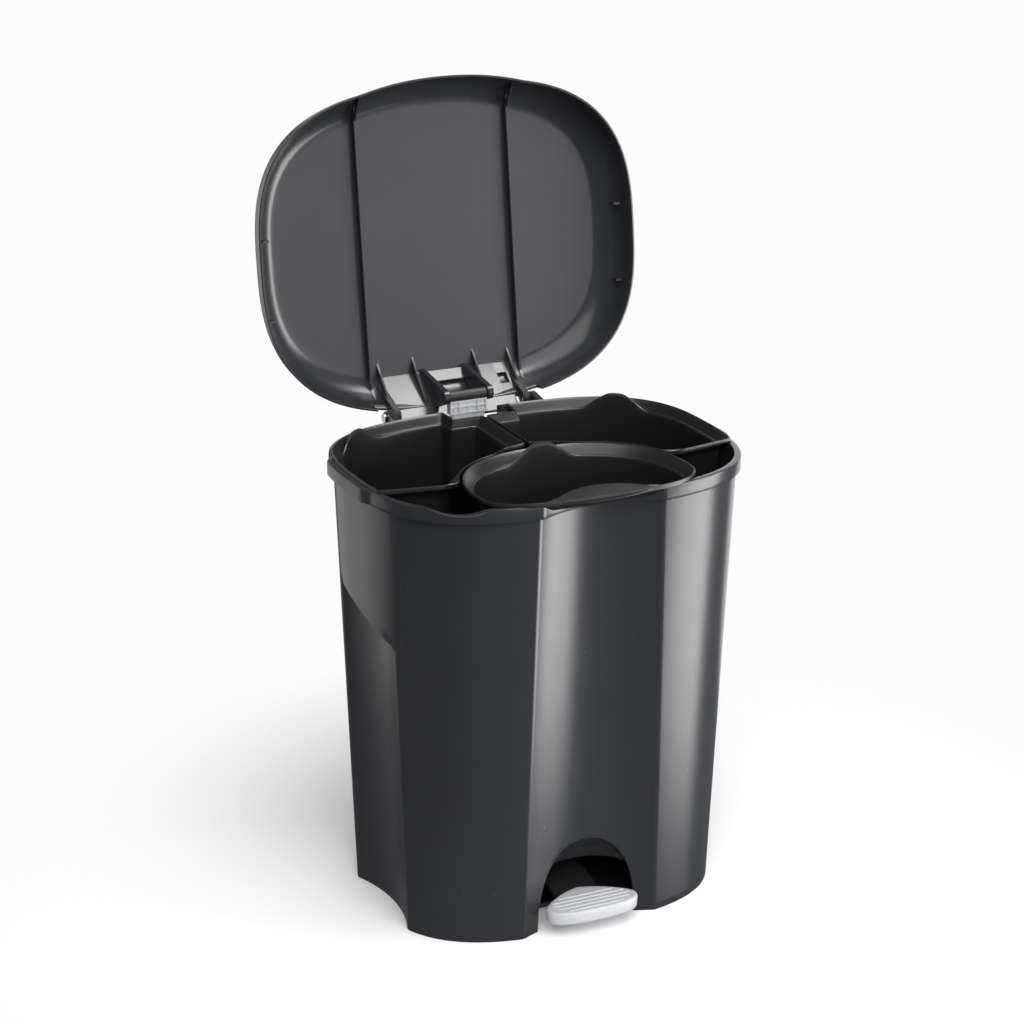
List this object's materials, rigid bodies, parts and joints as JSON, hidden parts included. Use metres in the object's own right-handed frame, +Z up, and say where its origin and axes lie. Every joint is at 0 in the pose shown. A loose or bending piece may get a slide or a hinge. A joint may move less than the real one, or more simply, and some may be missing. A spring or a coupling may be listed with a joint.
{
  "type": "pedal trash can",
  "caption": "Charcoal pedal trash can with a hinged dished lid, separate lift-out inner buckets, and a foot pedal that opens the lid through a lever and push rod.",
  "frame": {"origin": "centre of the flat underside of the base plate, on the floor", "axes": "+Z up; the front, with the pedal, faces -Y; +X is to the right of a viewer who faces the front"},
  "size_m": [0.414, 0.4092, 0.7858],
  "materials": {
    "charcoal_polypropylene": "semi-gloss moulded, smooth",
    "dark_polypropylene": "satin moulded",
    "bucket_polypropylene": "satin moulded, fine matt inside",
    "light_grey_polypropylene": "satin moulded",
    "steel": "bright zinc-plated"
  },
  "bodies": {
    "body": {"body_shell": "charcoal_polypropylene", "rod_cover": "charcoal_polypropylene", "base_plate": "dark_polypropylene", "axle_bracket_left": "dark_polypropylene", "axle_bracket_right": "dark_polypropylene", "hinge_pin_left": "steel", "hinge_pin_right": "steel", "base_screw_1": "steel", "base_screw_2": "steel", "base_screw_3": "steel", "base_screw_4": "steel", "cover_screw_1": "steel", "cover_screw_2": "steel", "cover_screw_3": "steel", "cover_screw_4": "steel", "bracket_screw_left_front": "steel", "bracket_screw_left_back": "steel", "bracket_screw_right_front": "steel", "bracket_screw_right_back": "steel"},
    "lid": {"lid": "charcoal_polypropylene"},
    "push_rod": {"push_rod": "light_grey_polypropylene"},
    "pedal": {"pedal_lever": "dark_polypropylene", "pedal_pad": "light_grey_polypropylene"},
    "pedal_axle": {"pedal_axle": "steel"},
    "front_bucket": {"front_bucket": "bucket_polypropylene"},
    "right_rear_bucket": {"right_rear_bucket": "bucket_polypropylene"},
    "left_rear_bucket": {"left_rear_bucket": "bucket_polypropylene"}
  },
  "joints": [
    {"name": "lid_hinge", "type": "hinge", "parent": "body", "child": "lid", "pos_m": [0, 0.174, 0.45], "axis": [-1, 0, 0], "range_deg": [-97, 0]},
    {"name": "push_rod_pin", "type": "hinge", "parent": "lid", "child": "push_rod", "pos_m": [0, 0.15857, 0.46838], "axis": [-1, 0, 0], "range_deg": [0, 97]},
    {"name": "pedal_pivot", "type": "hinge", "parent": "body", "child": "pedal", "pos_m": [0, 0, 0.036], "axis": [-1, 0, 0], "range_deg": [0, 15.6]},
    {"name": "pedal_axle_spin", "type": "hinge", "parent": "body", "child": "pedal_axle", "pos_m": [0, 0, 0.036], "axis": [1, 0, 0], "continuous": true},
    {"name": "front_bucket_lift", "type": "slide", "parent": "body", "child": "front_bucket", "axis": [0, 0, 1], "range_m": [0, 0.4]},
    {"name": "right_rear_bucket_lift", "type": "slide", "parent": "body", "child": "right_rear_bucket", "axis": [0, 0, 1], "range_m": [0, 0.4]},
    {"name": "left_rear_bucket_lift", "type": "slide", "parent": "body", "child": "left_rear_bucket", "axis": [0, 0, 1], "range_m": [0, 0.4]}
  ],
  "couplings": [
    {"joint": "push_rod_pin", "follows": "lid_hinge", "ratio": -1},
    {"joint": "pedal_pivot", "follows": "lid_hinge", "ratio": -0.1608}
  ]
}
